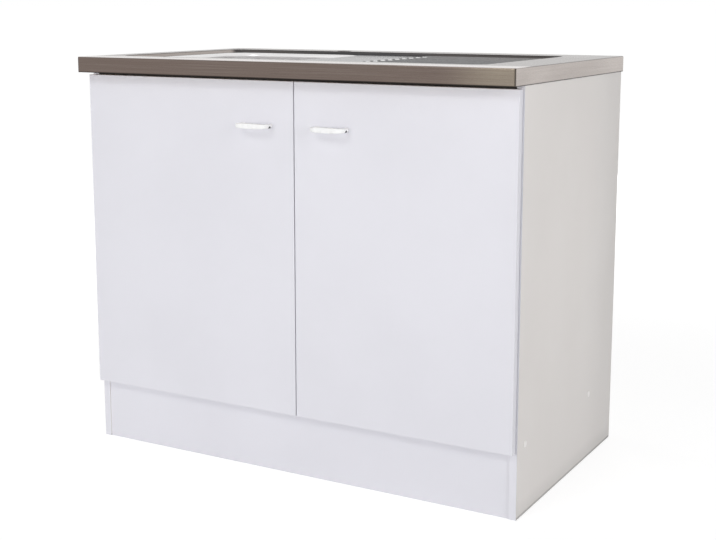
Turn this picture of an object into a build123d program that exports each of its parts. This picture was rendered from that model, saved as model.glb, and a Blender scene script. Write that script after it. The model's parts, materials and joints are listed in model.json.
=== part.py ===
from math import cos, radians, sin
import os

from build123d import *

# A kitchen sink unit: a white two-door base cabinet that carries a lay-on
# stainless steel sink top with one bowl and a ribbed drainer.
# Millimetres. X runs to the right, the doors face -Y and +Z is up.
# The origin is at floor level, under the middle of the sink top.

# ---------------------------------------------------------------- driving sizes
# Sink top
top_width = 1000.0
top_depth = 600.0
unit_height = 850.0
apron_height = 33.0
steel = 1.0
top_corner_radius = 4.0
top_edge_radius = 2.5
recess_depth = 7.0
recess_corner_radius = 28.0
recess_wall_run = 5.0
left_border = 45.0
right_border = 100.0
front_ledge = 85.0
rear_ledge = 80.0

# Bowl, pressed and welded into the recess
bowl_width = 340.0
bowl_depth = 150.0
bowl_corner_radius = 60.0
bowl_floor_radius = 28.0
bowl_flare_radius = 8.0
bowl_from_recess = 25.0
bowl_end_margin = 17.5
weld_gap = 0.05

# Drainer ribs
rib_pitch = 32.0
rib_width = 12.0
rib_height = 2.5
rib_from_bowl = 180.0
rib_end_margin = 14.0
rib_side_margin = 30.0

# Tap hole
tap_hole_radius = 17.5
tap_hole_from_rear = 56.0
tap_hole_from_bowl_side = 70.0

# Cabinet
board = 16.0
back_thickness = 3.0
side_overhang = 2.0
front_overhang = 48.0
rear_overhang = 9.0
apron_lap = 3.0
shelf_underside = 132.0
plinth_setback = 2.0
rail_height = 80.0
cutout_width = 520.0
cutout_height = 320.0
cutout_bottom = 210.0
cutout_corner_radius = 20.0

# Wooden strips that pack out the sink top
strip_clearance = 2.0
front_strip_width = 60.0
rear_strip_width = 28.0
strip_to_recess = 3.0

# Doors
door_thickness = 16.0
door_side_reveal = 3.0
door_gap = 2.0
door_gap_offset = 22.0
door_to_carcass = 1.5
door_bottom_gap = 0.0
door_top_gap = 6.0
door_edge_radius = 1.0

# Bow handles
handle_hole_spacing = 64.0
handle_foot = 10.0
handle_reach = 29.0
handle_bar_thickness = 8.0
handle_mid_height = 11.0
handle_end_height = 7.5
handle_edge_radius = 2.2
handle_from_gap = 87.0
handle_from_door_top = 89.0
handle_screw_radius = 2.0
handle_screw_grip = 8.0

# Concealed hinges
hinge_inset = 112.0
cup_radius = 17.5
cup_depth = 12.0
cup_wall = 0.9
cup_from_door_edge = 22.5
cup_flange = 1.0
plate_setback = 37.0
plate_screw_spacing = 32.0
plate_thickness = 2.5
plate_rail_height = 2.0
arm_thickness = 2.0
arm_half_width = 8.5
arm_length = 64.0
link_length = 12.5
link_angle = 20.0
pin_radius = 1.4
pin_head = 0.8
cup_flange_width = 3.5
cup_ear = 6.5
cup_screw_inboard = 9.5
cup_screw_spacing = 45.0
cup_screw_length = 11.0
cup_pin_inboard = 12.0
cup_pin_forward = 9.5
plate_screw_radius = 2.4
plate_screw_head_radius = 4.0
plate_screw_length = 13.0
plate_wing = 7.5
plate_rail_ahead = 14.0
plate_rail_behind = 26.0
arm_screw_radius = 2.0
arm_screw_step = 16.0
arm_lip = 1.5
arm_cheek = 2.3
arm_nose_radius = 2.0
arm_nose_clearance = 1.0
arm_nose_width = 8.5
arm_nose_reach = 8.0
arm_neck = 4.0
arm_pivot_inboard = 4.5
arm_pivot_forward = 4.0
link_thickness = 1.6
link_barrel_radius = 3.2
link_tip_radius = 2.0

# Fasteners and small fittings
confirmat_radius = 3.4
confirmat_head_radius = 4.8
confirmat_head_depth = 4.0
confirmat_length = 50.0
confirmat_from_front = 38.0
confirmat_from_rear = 146.0
cap_radius = 6.5
cap_thickness = 1.2
cap_stub_radius = 1.9
dowel_radius = 4.0
dowel_in_panel_end = 15.0
dowel_in_side = 11.0
cam_radius = 7.5
cam_depth = 12.5
cam_from_end = 24.0
cam_bolt_radius = 3.0
cam_bolt_in_side = 11.0
wood_screw_radius = 1.8
wood_screw_head_radius = 3.6
wood_screw_head = 1.5
nail_inset = 30.0
nails_per_side = 6
nail_radius = 0.7
nail_head_radius = 1.6
nail_head = 0.5
nail_length = 20.0
bracket_leg = 24.0
bracket_sheet = 2.0
bracket_width = 20.0
bracket_spread = 150.0
bracket_screw_length = 12.0
corner_leg = 24.0
corner_wall = 3.0
corner_height = 30.0
corner_screw_length = 12.0
buffer_radius = 5.0
buffer_from_gap = 22.0
fit_gap = 0.1
running_gap = 0.3

# Waste fittings
waste_hole_radius = 45.0
waste_flange_overlap = 12.0
waste_cup_clearance = 1.0
waste_flange_thickness = 2.0
waste_seal_thickness = 1.0
waste_cup_wall = 1.2
waste_cup_depth = 46.0
outlet_radius = 24.0
outlet_wall = 3.0
outlet_length = 30.0
nut_thickness = 12.0
gasket_thickness = 3.0
basket_gap = 1.2
basket_sheet = 0.9
overflow_hole_radius = 15.0
overflow_from_rim = 38.0
overflow_pipe_radius = 10.0
overflow_pipe_wall = 1.5
overflow_bend_radius = 24.0
spigot_length = 18.0
spigot_collar = 3.0
spigot_above_floor = 4.0
nut_lugs = 6
nut_lug = 6.0
stopper_thickness = 3.0
stopper_overlap = 4.0
basket_lip_gap = 0.5
knob_radius = 10.0
knob_height = 7.0
strainer_hole_radius = 2.2
rosette_thickness = 2.0
rosette_overlap = 7.0
rosette_slot = 3.0
elbow_margin = 8.0
elbow_wall = 2.0
spout_length = 14.0

# ---------------------------------------------------------------- worked-out places
top_left = -top_width / 2
top_right = top_width / 2
top_front = -top_depth / 2
top_rear = top_depth / 2
deck_under = unit_height - steel
apron_bottom = unit_height - apron_height

recess_left = top_left + left_border
recess_right = top_right - right_border
recess_front = top_front + front_ledge
recess_rear = top_rear - rear_ledge
recess_top = unit_height - recess_depth
recess_under = recess_top - steel
recess_mid_y = (recess_front + recess_rear) / 2

bowl_left = recess_left + bowl_from_recess
bowl_right = bowl_left + bowl_width
bowl_x = (bowl_left + bowl_right) / 2
bowl_y = recess_mid_y
bowl_front = recess_front + bowl_end_margin
bowl_rear = recess_rear - bowl_end_margin
bowl_floor = recess_top - bowl_depth
bowl_under = bowl_floor - steel

tap_hole_x = bowl_right - tap_hole_from_bowl_side
tap_hole_y = top_rear - tap_hole_from_rear

side_outer = top_right - side_overhang
side_inner = side_outer - board
side_height = apron_bottom + apron_lap
carcass_front = top_front + front_overhang
carcass_rear = top_rear - rear_overhang
side_rear = carcass_rear - back_thickness
rail_bottom = side_height - rail_height
rail_mid_z = side_height - rail_height / 2
front_rail_rear = carcass_front + board
rear_rail_front = side_rear - board
shelf_top = shelf_underside + board
shelf_mid_z = shelf_underside + board / 2
plinth_front = carcass_front + plinth_setback
plinth_rear = plinth_front + board

door_back = carcass_front - door_to_carcass
door_front = door_back - door_thickness
door_bottom = shelf_underside + door_bottom_gap
door_top = apron_bottom - door_top_gap
door_outer = side_outer - door_side_reveal
left_door_inner = door_gap_offset - door_gap / 2
right_door_inner = door_gap_offset + door_gap / 2
handle_z = door_top - handle_from_door_top
handle_xs = (door_gap_offset - handle_from_gap, door_gap_offset + handle_from_gap)
hinge_zs = (door_bottom + hinge_inset, door_top - hinge_inset)
bracket_ys = (recess_mid_y - bracket_spread, recess_mid_y + bracket_spread)

# Concealed hinge, right-hand side: the left-hand ones are its mirror image
cup_x = door_outer - cup_from_door_edge
cup_floor_y = door_back - cup_depth
plate_y = carcass_front + plate_setback
plate_face = side_inner - plate_thickness
plate_rail_face = plate_face - plate_rail_height
arm_face = plate_rail_face - arm_thickness
arm_neck_y = carcass_front + arm_neck
arm_nose_outer = side_inner - arm_nose_clearance
arm_nose_inner = arm_nose_outer - arm_nose_width
arm_nose_front = carcass_front - arm_nose_reach
arm_pivot_x = side_inner - arm_pivot_inboard
arm_pivot_y = carcass_front - arm_pivot_forward
cup_pin_y = carcass_front - cup_pin_forward
link_half_width = arm_half_width - arm_cheek - running_gap
link_end_x = arm_pivot_x - link_length * cos(radians(link_angle))
link_end_y = arm_pivot_y - link_length * sin(radians(link_angle))

# Waste, on the bowl's own axis
waste_flange_under = bowl_floor + waste_seal_thickness
waste_flange_top = waste_flange_under + waste_flange_thickness
waste_flange_radius = waste_hole_radius + waste_flange_overlap
waste_cup_radius = waste_hole_radius - waste_cup_clearance
waste_cup_inner = waste_cup_radius - waste_cup_wall
waste_cup_bottom = waste_flange_under - waste_cup_depth
waste_cup_floor = waste_cup_bottom + waste_cup_wall
outlet_bottom = waste_cup_bottom - outlet_length
outlet_bore = outlet_radius - outlet_wall
spigot_z = waste_cup_floor + overflow_pipe_radius + spigot_above_floor
overflow_z = recess_top - overflow_from_rim
bowl_rear_face = bowl_rear + steel
spigot_radius = overflow_pipe_radius - overflow_pipe_wall - fit_gap
branch_end_y = bowl_y + waste_cup_radius + spigot_length
overflow_pipe_y = bowl_rear_face + overflow_pipe_radius + elbow_wall


# ---------------------------------------------------------------- plain shapes
def block(x0, x1, y0, y1, z0, z1):
    """A box between two opposite corners."""
    middle = Pos((x0 + x1) / 2, (y0 + y1) / 2, (z0 + z1) / 2)
    return middle * Box(x1 - x0, y1 - y0, z1 - z0)


def rod_x(x0, x1, y, z, radius):
    """A round bar along X."""
    return Pos((x0 + x1) / 2, y, z) * Rot(0, 90, 0) * Cylinder(radius, abs(x1 - x0))


def rod_y(x, y0, y1, z, radius):
    """A round bar along Y."""
    return Pos(x, (y0 + y1) / 2, z) * Rot(90, 0, 0) * Cylinder(radius, abs(y1 - y0))


def rod_z(x, y, z0, z1, radius):
    """A round bar along Z."""
    return Pos(x, y, (z0 + z1) / 2) * Cylinder(radius, abs(z1 - z0))


def rounded_prism(x0, x1, y0, y1, z0, z1, radius):
    """An upright block with rounded vertical corners."""
    outline = RectangleRounded(x1 - x0, y1 - y0, radius)
    return Pos((x0 + x1) / 2, (y0 + y1) / 2, z0) * extrude(outline, amount=z1 - z0)


def mirrored(shape):
    """The same shape on the other side of the cabinet."""
    return mirror(shape, about=Plane.YZ)


def both_sides(shapes):
    """The shapes and their mirror images."""
    return shapes + [mirrored(shape) for shape in shapes]


def at_both_hinges(make):
    """One copy of a right-hand hinge piece at each hinge height."""
    return [make(z) for z in hinge_zs]


def save(name, *solids):
    """Writes one named piece, or one group of equal pieces."""
    shape = solids[0] if len(solids) == 1 else Compound(children=list(solids))
    export_step(shape, f"parts/{name}.step")


# ---------------------------------------------------------------- sink top
def recess_block(grow, drop):
    """The pressed recess as a solid with sloping walls, grown and deepened for its underside."""
    length = recess_right - recess_left + 2 * grow
    width = recess_rear - recess_front + 2 * grow
    radius = recess_corner_radius + grow
    place = Pos((recess_left + recess_right) / 2, recess_mid_y, 0)
    slope_end = recess_top - drop
    upper = Pos(0, 0, unit_height) * RectangleRounded(length, width, radius)
    inset = 2 * recess_wall_run
    lower = Pos(0, 0, slope_end) * RectangleRounded(
        length - inset, width - inset, radius - recess_wall_run
    )
    return place * loft([upper, lower], ruled=True)


def rib_rows():
    """The Y place of each drainer rib, evenly spaced about the middle of the recess."""
    room = recess_rear - recess_front - 2 * (recess_wall_run + rib_side_margin)
    count = int(room // rib_pitch) + 1
    first = recess_mid_y - (count - 1) * rib_pitch / 2
    return [first + i * rib_pitch for i in range(count)]


def rib_bead(y, thinner):
    """A long bead with round ends, sunk in the recess floor so that only its crown shows."""
    crown_radius = (rib_width**2 / 4 + rib_height**2) / (2 * rib_height)
    radius = crown_radius - thinner
    axis_z = recess_top + rib_height - crown_radius
    start = bowl_right + rib_from_bowl
    end = recess_right - recess_wall_run - rib_end_margin - rib_width / 2
    bead = rod_x(start, end, y, axis_z, radius)
    ends = [Pos(x, y, axis_z) * Sphere(radius) for x in (start, end)]
    return bead + ends


def bowl_opening(grow, z0, z1):
    """The bowl's rounded outline as an upright block."""
    return rounded_prism(
        bowl_left - grow,
        bowl_right + grow,
        bowl_front - grow,
        bowl_rear + grow,
        z0,
        z1,
        bowl_corner_radius + grow,
    )


def sink_top():
    """One steel sheet: flat borders, folded apron, recess and drainer ribs."""
    shell = rounded_prism(
        top_left, top_right, top_front, top_rear, apron_bottom, unit_height, top_corner_radius
    )
    shell = fillet(shell.faces().sort_by(Axis.Z)[-1].edges(), top_edge_radius)
    hollow = rounded_prism(
        top_left + steel,
        top_right - steel,
        top_front + steel,
        top_rear - steel,
        apron_bottom,
        deck_under,
        top_corner_radius - steel,
    )
    hollow = fillet(hollow.faces().sort_by(Axis.Z)[-1].edges(), top_edge_radius - steel)
    hollow -= recess_block(steel, steel)
    sheet = shell - hollow - recess_block(0, 0)
    above_sheet = block(
        recess_left, recess_right, recess_front, recess_rear, recess_under, unit_height
    )
    crowns = [rib_bead(y, 0) & above_sheet for y in rib_rows()]
    sheet = sheet + crowns
    sheet = sheet - [rib_bead(y, steel) for y in rib_rows()]
    sheet -= bowl_opening(bowl_flare_radius + steel + weld_gap, recess_under, unit_height)
    return sheet - rod_z(tap_hole_x, tap_hole_y, deck_under, unit_height, tap_hole_radius)


def sink_bowl():
    """The pressed bowl with its flared rim, a waste hole and an overflow hole."""
    rim = bowl_opening(bowl_flare_radius + steel, recess_under, recess_top)
    body = bowl_opening(steel, bowl_under, recess_under)
    body = fillet(body.faces().sort_by(Axis.Z)[0].edges(), bowl_floor_radius + steel)
    outer = body + rim
    under_rim = [
        edge
        for edge in outer.edges()
        if abs(edge.center().Z - recess_under) < 0.01
        and abs(edge.bounding_box().size.Z) < 0.01
        and outer_edge_is_inside(edge)
    ]
    outer = fillet(under_rim, bowl_flare_radius - steel)
    cavity = bowl_opening(0, bowl_floor, recess_top)
    cavity = fillet(cavity.faces().sort_by(Axis.Z)[0].edges(), bowl_floor_radius)
    bowl = outer - cavity
    mouth = [
        edge
        for edge in bowl.edges()
        if abs(edge.bounding_box().min.Z - recess_top) < 0.01
        and inside_outline(edge, bowl_flare_radius / 2)
    ]
    bowl = fillet(mouth, bowl_flare_radius)
    bowl -= rod_z(bowl_x, bowl_y, bowl_under, bowl_floor, waste_hole_radius)
    return bowl - rod_y(bowl_x, bowl_rear, bowl_rear_face, overflow_z, overflow_hole_radius)


def inside_outline(edge, grow):
    """Whether an edge lies inside the bowl's outline, grown a little."""
    box = edge.bounding_box()
    return (
        box.min.X > bowl_left - grow
        and box.max.X < bowl_right + grow
        and box.min.Y > bowl_front - grow
        and box.max.Y < bowl_rear + grow
    )


def outer_edge_is_inside(edge):
    """Whether an edge belongs to the bowl's wall rather than to the rim around it."""
    return inside_outline(edge, bowl_flare_radius / 2 + steel)


def underlay_strips():
    """The four wooden strips between the cabinet's top edge and the steel sheet."""
    left = top_left + steel + strip_clearance
    right = top_right - steel - strip_clearance
    front = top_front + steel + strip_clearance
    rear = top_rear - steel - strip_clearance
    front_end = front + front_strip_width
    rear_end = rear - rear_strip_width
    left_end = recess_left - steel - strip_to_recess
    right_end = recess_right + steel + strip_to_recess
    holes = both_sides([hole for y in bracket_ys for hole in bracket_screw_holes(y)])
    return {
        "front_underlay_strip": block(left, right, front, front_end, side_height, deck_under),
        "rear_underlay_strip": block(left, right, rear_end, rear, side_height, deck_under),
        "left_underlay_strip": block(left, left_end, front_end, rear_end, side_height, deck_under)
        - holes,
        "right_underlay_strip": block(
            right_end, right, front_end, rear_end, side_height, deck_under
        )
        - holes,
    }


# ---------------------------------------------------------------- fasteners
def screw(seat, direction, length, radius, head_radius, head):
    """A screw with a flat round head and a cross recess. Its head sits on the seat point."""
    shank = Pos(0, 0, length / 2) * Cylinder(radius, length)
    cap = Pos(0, 0, -head / 2) * Cylinder(head_radius, head)
    recess_depth_in_head = head * 0.6
    arm = head_radius * 1.1
    cross = [
        Pos(0, 0, recess_depth_in_head / 2 - head) * Rot(0, 0, turn)
        * Box(arm, arm / 4, recess_depth_in_head)
        for turn in (0, 90)
    ]
    return Plane(origin=seat, z_dir=direction) * (shank + cap - cross)


def drilled(seat, direction, length, radius):
    """A drilled hole that starts at the seat point."""
    return Plane(origin=seat, z_dir=direction) * Pos(0, 0, length / 2) * Cylinder(radius, length)


def wood_screw(seat, direction, length):
    return screw(
        seat, direction, length, wood_screw_radius, wood_screw_head_radius, wood_screw_head
    )


def wood_screw_hole(seat, direction, length):
    return drilled(seat, direction, length + fit_gap, wood_screw_radius + fit_gap)


def confirmat_places():
    """Seat points on the right-hand side panel's outer face."""
    ys = (carcass_front + confirmat_from_front, side_rear - confirmat_from_rear)
    return [(side_outer, y, shelf_mid_z) for y in ys]


def confirmat_screw(place):
    """A long panel screw whose flat head lies flush with the panel."""
    x, y, z = place
    head = rod_x(x - confirmat_head_depth, x, y, z, confirmat_head_radius)
    shank = rod_x(x - confirmat_length, x - confirmat_head_depth, y, z, confirmat_radius)
    socket = rod_x(x - confirmat_head_depth / 2, x, y, z, cap_stub_radius + fit_gap)
    return head + shank - socket


def confirmat_hole(place):
    x, y, z = place
    seat = rod_x(x - confirmat_head_depth, x, y, z, confirmat_head_radius + fit_gap)
    bore = rod_x(x - confirmat_length - fit_gap, x, y, z, confirmat_radius + fit_gap)
    return [seat, bore]


def cover_cap(place):
    """A thin plastic cap that clips into the screw's socket."""
    x, y, z = place
    disc = rod_x(x, x + cap_thickness, y, z, cap_radius)
    disc = fillet(disc.faces().sort_by(Axis.X)[-1].edges(), cap_thickness * 0.6)
    stub = rod_x(x - confirmat_head_depth / 2 + fit_gap, x, y, z, cap_stub_radius)
    return disc + stub


def rail_mid_ys():
    """The middle of each top rail's thickness."""
    return (carcass_front + board / 2, side_rear - board / 2)


def dowel_places():
    """Where dowels join the rails and the plinth board to the right-hand side panel."""
    spread = rail_height / 4
    rails = [(y, rail_mid_z + step) for y in rail_mid_ys() for step in (-spread, spread)]
    plinth_step = shelf_underside / 4
    plinth_y = plinth_front + board / 2
    plinth = [(plinth_y, shelf_underside / 2 + step) for step in (-plinth_step, plinth_step)]
    return rails + plinth


def wooden_dowel(place):
    y, z = place
    dowel = rod_x(
        side_inner - dowel_in_panel_end, side_inner + dowel_in_side, y, z, dowel_radius
    )
    ends = dowel.faces().filter_by(GeomType.PLANE).edges()
    return chamfer(ends, dowel_radius / 5)


def dowel_hole(place):
    y, z = place
    inner_end = side_inner - dowel_in_panel_end - fit_gap
    outer_end = side_inner + dowel_in_side + fit_gap
    return rod_x(inner_end, outer_end, y, z, dowel_radius + fit_gap)


def cam_bolt(y):
    """The steel bolt from the side panel into a rail's cam."""
    tip = side_inner - cam_from_end
    bolt = rod_x(tip, side_inner + cam_bolt_in_side, y, rail_mid_z, cam_bolt_radius)
    return fillet(bolt.faces().sort_by(Axis.X)[0].edges(), cam_bolt_radius / 2)


def cam_bolt_hole(y):
    tip = side_inner - cam_from_end
    end = side_inner + cam_bolt_in_side
    return rod_x(tip, end + fit_gap, y, rail_mid_z, cam_bolt_radius + fit_gap)


def cam_faces(y):
    """The cabinet-side face of a rail and the bottom of its cam hole."""
    if y < recess_mid_y:
        return front_rail_rear, front_rail_rear - cam_depth
    return rear_rail_front, rear_rail_front + cam_depth


def cam_disc(y):
    """A round cam with a screwdriver cross, bored for the bolt it pulls on."""
    face, bottom = cam_faces(y)
    x = side_inner - cam_from_end
    disc = rod_y(x, face, bottom, rail_mid_z, cam_radius - fit_gap)
    depth = face + (bottom - face) * 0.2
    slots = [
        Pos(x, (face + depth) / 2, rail_mid_z) * Rot(0, turn, 0)
        * Box(cam_radius, abs(face - depth), cam_radius / 5)
        for turn in (0, 90)
    ]
    return disc - slots - cam_bolt_hole(y)


def cam_hole(y):
    face, bottom = cam_faces(y)
    return rod_y(side_inner - cam_from_end, face, bottom, rail_mid_z, cam_radius)


# ---------------------------------------------------------------- sink brackets
def sink_bracket(y):
    """An angle that holds the sink top's side strip down on the cabinet."""
    inner = side_inner - bracket_leg
    upright = block(
        side_inner - bracket_sheet,
        side_inner,
        y - bracket_width / 2,
        y + bracket_width / 2,
        side_height - bracket_leg,
        side_height,
    )
    flat = block(
        inner,
        side_inner,
        y - bracket_width / 2,
        y + bracket_width / 2,
        side_height - bracket_sheet,
        side_height,
    )
    return upright + flat - bracket_screw_holes(y)


def bracket_seats(y):
    """Seat point, direction and length of a bracket's two screws."""
    hole = bracket_leg * 0.6
    into_side = ((side_inner - bracket_sheet, y, side_height - hole), (1, 0, 0))
    into_strip = ((side_inner - hole, y, side_height - bracket_sheet), (0, 0, 1))
    return [into_side, into_strip]


def bracket_screws(y):
    return [wood_screw(seat, way, bracket_screw_length) for seat, way in bracket_seats(y)]


def bracket_screw_holes(y):
    return [wood_screw_hole(seat, way, bracket_screw_length) for seat, way in bracket_seats(y)]


# ---------------------------------------------------------------- cabinet
def side_panel():
    """The right-hand side panel with all its holes."""
    panel = block(side_inner, side_outer, carcass_front, side_rear, 0, side_height)
    holes = [hole for place in confirmat_places() for hole in confirmat_hole(place)]
    holes += [dowel_hole(place) for place in dowel_places()]
    holes += [cam_bolt_hole(y) for y in rail_mid_ys()]
    holes += [hole for z in hinge_zs for hole in plate_screw_holes(z)]
    holes += [hole for y in bracket_ys for hole in bracket_screw_holes(y)]
    holes += [hole for place in corner_block_places() for hole in corner_screw_holes(place)]
    holes += [nail_hole(place) for place in nail_places()]
    return panel - holes


def base_shelf():
    shelf = block(-side_inner, side_inner, carcass_front, side_rear, shelf_underside, shelf_top)
    holes = [hole for place in confirmat_places() for hole in confirmat_hole(place)]
    holes += [nail_hole(place) for place in nail_places()]
    return shelf - both_sides(holes)


def plinth_board():
    board_shape = block(-side_inner, side_inner, plinth_front, plinth_rear, 0, shelf_underside)
    holes = both_sides([dowel_hole(place) for place in dowel_places()])
    holes += both_sides([h for place in corner_block_places() for h in corner_screw_holes(place)])
    return board_shape - holes


def top_rail(front, rear, y):
    rail = block(-side_inner, side_inner, front, rear, rail_bottom, side_height)
    holes = [dowel_hole(place) for place in dowel_places()]
    holes += [cam_bolt_hole(y), cam_hole(y)]
    holes += [nail_hole(place) for place in nail_places()]
    return rail - both_sides(holes)


def back_panel():
    """A thin back, nailed on from behind, with a cut-out for the pipes."""
    panel = block(-side_outer, side_outer, side_rear, carcass_rear, 0, side_height)
    outline = RectangleRounded(cutout_width, cutout_height, cutout_corner_radius)
    middle = Pos(0, carcass_rear, cutout_bottom + cutout_height / 2)
    panel -= middle * Rot(90, 0, 0) * extrude(outline, amount=back_thickness)
    return panel - both_sides([nail_hole(place) for place in nail_places()])


def nail_places():
    """X and Z of each nail, in rows up the sides and along the rear rail and the shelf."""
    edge = board / 2
    row_x = side_outer - edge
    step = (side_height - 2 * nail_inset) / (nails_per_side - 1)
    upright = [(row_x, nail_inset + i * step) for i in range(nails_per_side)]
    across = [row_x / 3, row_x / 3 * 2]
    level = [(x, z) for x in across for z in (shelf_mid_z, rail_mid_z)]
    return upright + level


def nail_hole(place):
    x, z = place
    return rod_y(x, carcass_rear, carcass_rear - nail_length - fit_gap, z, nail_radius + fit_gap)


def back_nail(place):
    x, z = place
    head = rod_y(x, carcass_rear, carcass_rear + nail_head, z, nail_head_radius)
    shank = rod_y(x, carcass_rear, carcass_rear - nail_length, z, nail_radius)
    return head + shank


def corner_block_places():
    """Height of the middle of each block behind the plinth board's ends."""
    return [shelf_underside / 2]


def corner_block(z):
    """A moulded angle that joins the plinth board to the side panel."""
    low = z - corner_height / 2
    high = z + corner_height / 2
    inner = side_inner - corner_leg
    rear = plinth_rear + corner_leg
    on_side = block(side_inner - corner_wall, side_inner, plinth_rear, rear, low, high)
    on_plinth = block(inner, side_inner, plinth_rear, plinth_rear + corner_wall, low, high)
    web = make_face(
        Polyline(
            (inner + corner_wall, plinth_rear + corner_wall),
            (side_inner - corner_wall, plinth_rear + corner_wall),
            (side_inner - corner_wall, rear - corner_wall),
            close=True,
        )
    )
    foot = Pos(0, 0, low) * extrude(web, amount=corner_wall)
    return on_side + on_plinth + foot - corner_screw_holes(z)


def corner_seats(z):
    """Seat point and direction of a corner block's two screws."""
    hole = corner_leg * 0.6
    into_side = ((side_inner - corner_wall, plinth_rear + hole, z), (1, 0, 0))
    into_plinth = ((side_inner - hole, plinth_rear + corner_wall, z), (0, -1, 0))
    return [into_side, into_plinth]


def corner_screws(z):
    return [wood_screw(seat, way, corner_screw_length) for seat, way in corner_seats(z)]


def corner_screw_holes(z):
    return [wood_screw_hole(seat, way, corner_screw_length) for seat, way in corner_seats(z)]


# ---------------------------------------------------------------- doors and handles
def door(inner_edge, side, handle_x):
    """A door panel with bored hinge cups. Side is 1 for the right-hand door, -1 for the left."""
    edges = sorted((inner_edge, side * door_outer))
    panel = block(edges[0], edges[1], door_front, door_back, door_bottom, door_top)
    panel = fillet(panel.edges(), door_edge_radius)
    bores = [cup_hole(z) for z in hinge_zs]
    bores += [hole for z in hinge_zs for hole in cup_screw_holes(z)]
    if side < 0:
        bores = [mirrored(bore) for bore in bores]
    bores += [
        drilled(seat, (0, -1, 0), door_thickness, handle_screw_radius + fit_gap)
        for seat in handle_screw_seats(handle_x)
    ]
    return panel - bores


def handle_screw_seats(handle_x):
    half = handle_hole_spacing / 2
    return [(handle_x + step, door_back, handle_z) for step in (-half, half)]


def bow_handle(handle_x):
    """A bow handle: a flat arch that is tallest in the middle of its grip."""
    foot_outer = (handle_hole_spacing + handle_foot) / 2
    foot_inner = (handle_hole_spacing - handle_foot) / 2
    reach = handle_reach
    grip_inner = reach - handle_bar_thickness
    spread = handle_foot / 2
    arch = make_face(
        Polyline(
            (-foot_outer, 0),
            (-foot_outer - spread, -reach),
            (foot_outer + spread, -reach),
            (foot_outer, 0),
            close=True,
        )
    )
    arch = fillet(arch.vertices().filter_by(lambda v: v.Y < -reach / 2), reach * 0.55)
    gap = make_face(
        Polyline(
            (-foot_inner, 0),
            (-foot_inner - spread, -grip_inner),
            (foot_inner + spread, -grip_inner),
            (foot_inner, 0),
            close=True,
        )
    )
    gap = fillet(gap.vertices().filter_by(lambda v: v.Y < -grip_inner / 2), grip_inner * 0.5)
    half_mid = handle_mid_height / 2
    half_end = handle_end_height / 2
    end_x = foot_outer + spread
    top = ThreePointArc((-end_x, half_end), (0, half_mid), (end_x, half_end))
    bottom = ThreePointArc((end_x, -half_end), (0, -half_mid), (-end_x, -half_end))
    ends = [
        Line((end_x, half_end), (end_x, -half_end)),
        Line((-end_x, -half_end), (-end_x, half_end)),
    ]
    side_view = make_face([top, bottom] + ends)
    arch_block = Pos(0, 0, -half_mid) * extrude(arch - gap, amount=handle_mid_height)
    side_block = Rot(90, 0, 0) * extrude(side_view, amount=reach)
    handle = arch_block & side_block
    rounded = [edge for edge in handle.edges() if edge.center().Y < -0.01]
    handle = fillet(rounded, handle_edge_radius)
    handle = Pos(handle_x, door_front, handle_z) * handle
    holes = [
        drilled(
            (x, door_front, z), (0, -1, 0), handle_screw_grip + fit_gap, handle_screw_radius + fit_gap
        )
        for x, y, z in handle_screw_seats(handle_x)
    ]
    return handle - holes


def handle_screws(handle_x):
    length = door_thickness + handle_screw_grip
    head_radius = handle_screw_radius * 2
    head = handle_screw_radius * 1.2
    return [
        screw(seat, (0, -1, 0), length, handle_screw_radius, head_radius, head)
        for seat in handle_screw_seats(handle_x)
    ]


def door_buffers(x):
    """Soft discs on the back of a door, near its free edge."""
    face = carcass_front - fit_gap
    return [rod_y(x, door_back, face, z, buffer_radius) for z in (shelf_mid_z, rail_mid_z)]


# ---------------------------------------------------------------- concealed hinges
def cup_hole(z):
    return rod_y(cup_x, door_back, cup_floor_y, z, cup_radius)


def cup_screw_seats(z):
    """Where the two screws beside a hinge cup enter the door."""
    x = cup_x - cup_screw_inboard
    return [(x, door_back, z + step) for step in (-cup_screw_spacing / 2, cup_screw_spacing / 2)]


def cup_screw_holes(z):
    return [wood_screw_hole(seat, (0, -1, 0), cup_screw_length) for seat in cup_screw_seats(z)]


def cup_screws(z):
    return [
        screw(
            seat,
            (0, -1, 0),
            cup_screw_length,
            wood_screw_radius,
            wood_screw_head_radius,
            cup_flange,
        )
        for seat in cup_screw_seats(z)
    ]


def hinge_cup(z):
    """The pressed cup let into the door, its flange with two ears and the pin across it."""
    body = rod_y(cup_x, door_back, cup_floor_y, z, cup_radius - fit_gap)
    flange_face = door_back + cup_flange
    flange = rod_y(cup_x, door_back, flange_face, z, cup_radius + cup_flange_width)
    ear = cup_screw_spacing / 2 + cup_ear
    ears = block(
        cup_x - cup_screw_inboard - cup_ear,
        cup_x - cup_screw_inboard + cup_ear,
        door_back,
        flange_face,
        z - ear,
        z + ear,
    )
    ears = fillet(ears.edges().filter_by(Axis.Y), cup_ear * 0.8)
    hollow = rod_y(cup_x, cup_floor_y + cup_wall, flange_face, z, cup_radius - cup_wall)
    cup = body + flange + ears - hollow
    pin = rod_z(cup_x - cup_pin_inboard, cup_pin_y, z - cup_radius, z + cup_radius, pin_radius)
    cup += pin & rod_y(cup_x, door_back, cup_floor_y, z, cup_radius - fit_gap)
    heads = [
        drilled((x, flange_face, height), (0, -1, 0), cup_flange, wood_screw_head_radius + fit_gap)
        for x, y, height in cup_screw_seats(z)
    ]
    return cup - heads


def plate_screw_seats(z):
    """Where the flat heads of a mounting plate's screws sit."""
    half = plate_screw_spacing / 2
    return [(plate_face + wood_screw_head, plate_y, z + step) for step in (-half, half)]


def plate_screws(z):
    return [
        screw(
            seat,
            (1, 0, 0),
            plate_screw_length,
            plate_screw_radius,
            plate_screw_head_radius,
            wood_screw_head,
        )
        for seat in plate_screw_seats(z)
    ]


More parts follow.
